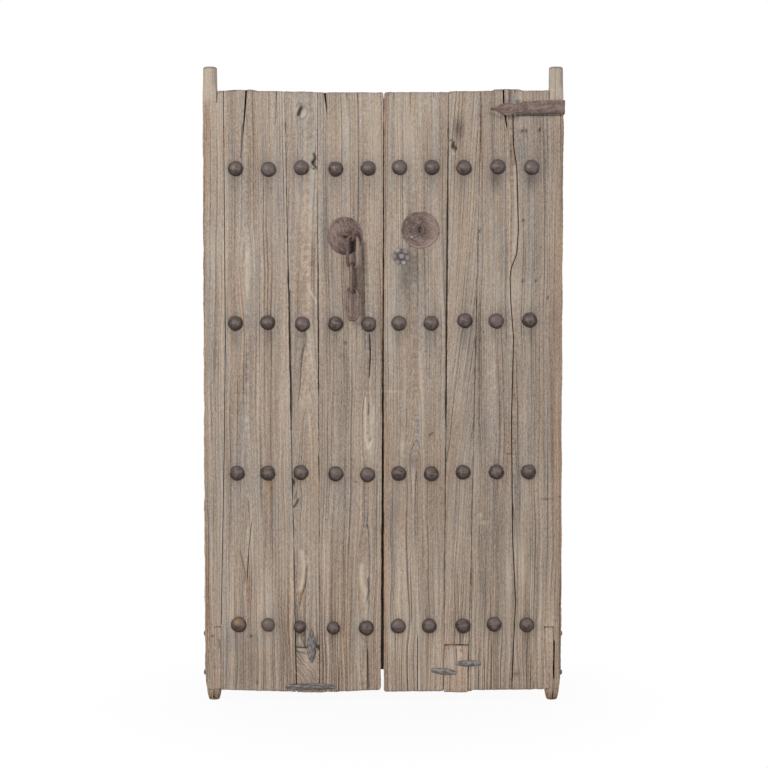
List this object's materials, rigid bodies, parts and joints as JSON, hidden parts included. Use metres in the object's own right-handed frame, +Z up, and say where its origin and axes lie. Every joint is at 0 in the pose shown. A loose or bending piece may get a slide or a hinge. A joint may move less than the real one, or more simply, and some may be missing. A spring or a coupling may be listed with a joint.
{
  "type": "double door",
  "caption": "Old courtyard double door of weathered boards on wooden pivots, with iron dome studs, boss plates, cramps and a hasp chain; no frame.",
  "frame": {"origin": "floor level under the foot pivots, on the meeting line of the leaves, at mid-thickness of the boards where the pivot axes lie", "axes": "+Z up, +X to the right seen from the front, the studded front faces -Y"},
  "size_m": [1.142, 0.1337, 2.004],
  "materials": {
    "weathered_wood": "grey weathered open grain",
    "patch_wood": "paler weathered grain",
    "back_wood": "weathered grain",
    "stud_iron": "dark brown patina",
    "rusty_iron": "worn brown rust",
    "forged_iron": "grey forged"
  },
  "bodies": {
    "left_leaf": {"left_outer_board": "weathered_wood", "left_middle_board": "weathered_wood", "left_inner_board": "weathered_wood", "left_patch": "patch_wood", "left_splice": "patch_wood", "left_batten_1": "back_wood", "left_batten_2": "back_wood", "left_batten_3": "back_wood", "left_batten_4": "back_wood", "left_studs": "stud_iron", "left_boss_plate": "rusty_iron", "left_staple": "rusty_iron", "left_patch_cramp": "forged_iron", "left_sill_cramp": "forged_iron", "left_side_nails": "forged_iron"},
    "right_leaf": {"right_outer_board": "weathered_wood", "right_middle_board": "weathered_wood", "right_inner_board": "weathered_wood", "right_patch": "patch_wood", "right_splice": "patch_wood", "right_batten_1": "back_wood", "right_batten_2": "back_wood", "right_batten_3": "back_wood", "right_batten_4": "back_wood", "right_studs": "stud_iron", "right_boss_plate": "rusty_iron", "right_boss_nail": "forged_iron", "right_staple": "rusty_iron", "rosette": "forged_iron", "rosette_nail": "forged_iron", "strap": "rusty_iron", "strap_nails": "forged_iron", "right_upper_cramp": "forged_iron", "right_lower_cramp": "forged_iron", "right_side_nails": "forged_iron", "meeting_strip": "back_wood", "strip_nails": "forged_iron"},
    "chain_upper": {"chain_upper_link": "rusty_iron"},
    "chain_middle": {"chain_middle_link": "rusty_iron"},
    "chain_end": {"chain_end_link": "rusty_iron"}
  },
  "joints": [
    {"name": "right_leaf_swing", "type": "hinge", "parent": "left_leaf", "child": "right_leaf", "pos_m": [0.5425, 0, 0.98], "axis": [0, 0, -1], "range_deg": [0, 90]},
    {"name": "chain_upper_swing", "type": "hinge", "parent": "left_leaf", "child": "chain_upper", "pos_m": [-0.095, -0.054, 1.4709], "axis": [-1, 0, 0], "range_deg": [0, 90]},
    {"name": "chain_middle_swing", "type": "hinge", "parent": "chain_upper", "child": "chain_middle", "pos_m": [-0.095, -0.054, 1.3749], "axis": [-1, 0, 0], "range_deg": [0, 75]},
    {"name": "chain_end_swing", "type": "hinge", "parent": "chain_middle", "child": "chain_end", "pos_m": [-0.095, -0.054, 1.3077], "axis": [-1, 0, 0], "range_deg": [0, 75]}
  ]
}
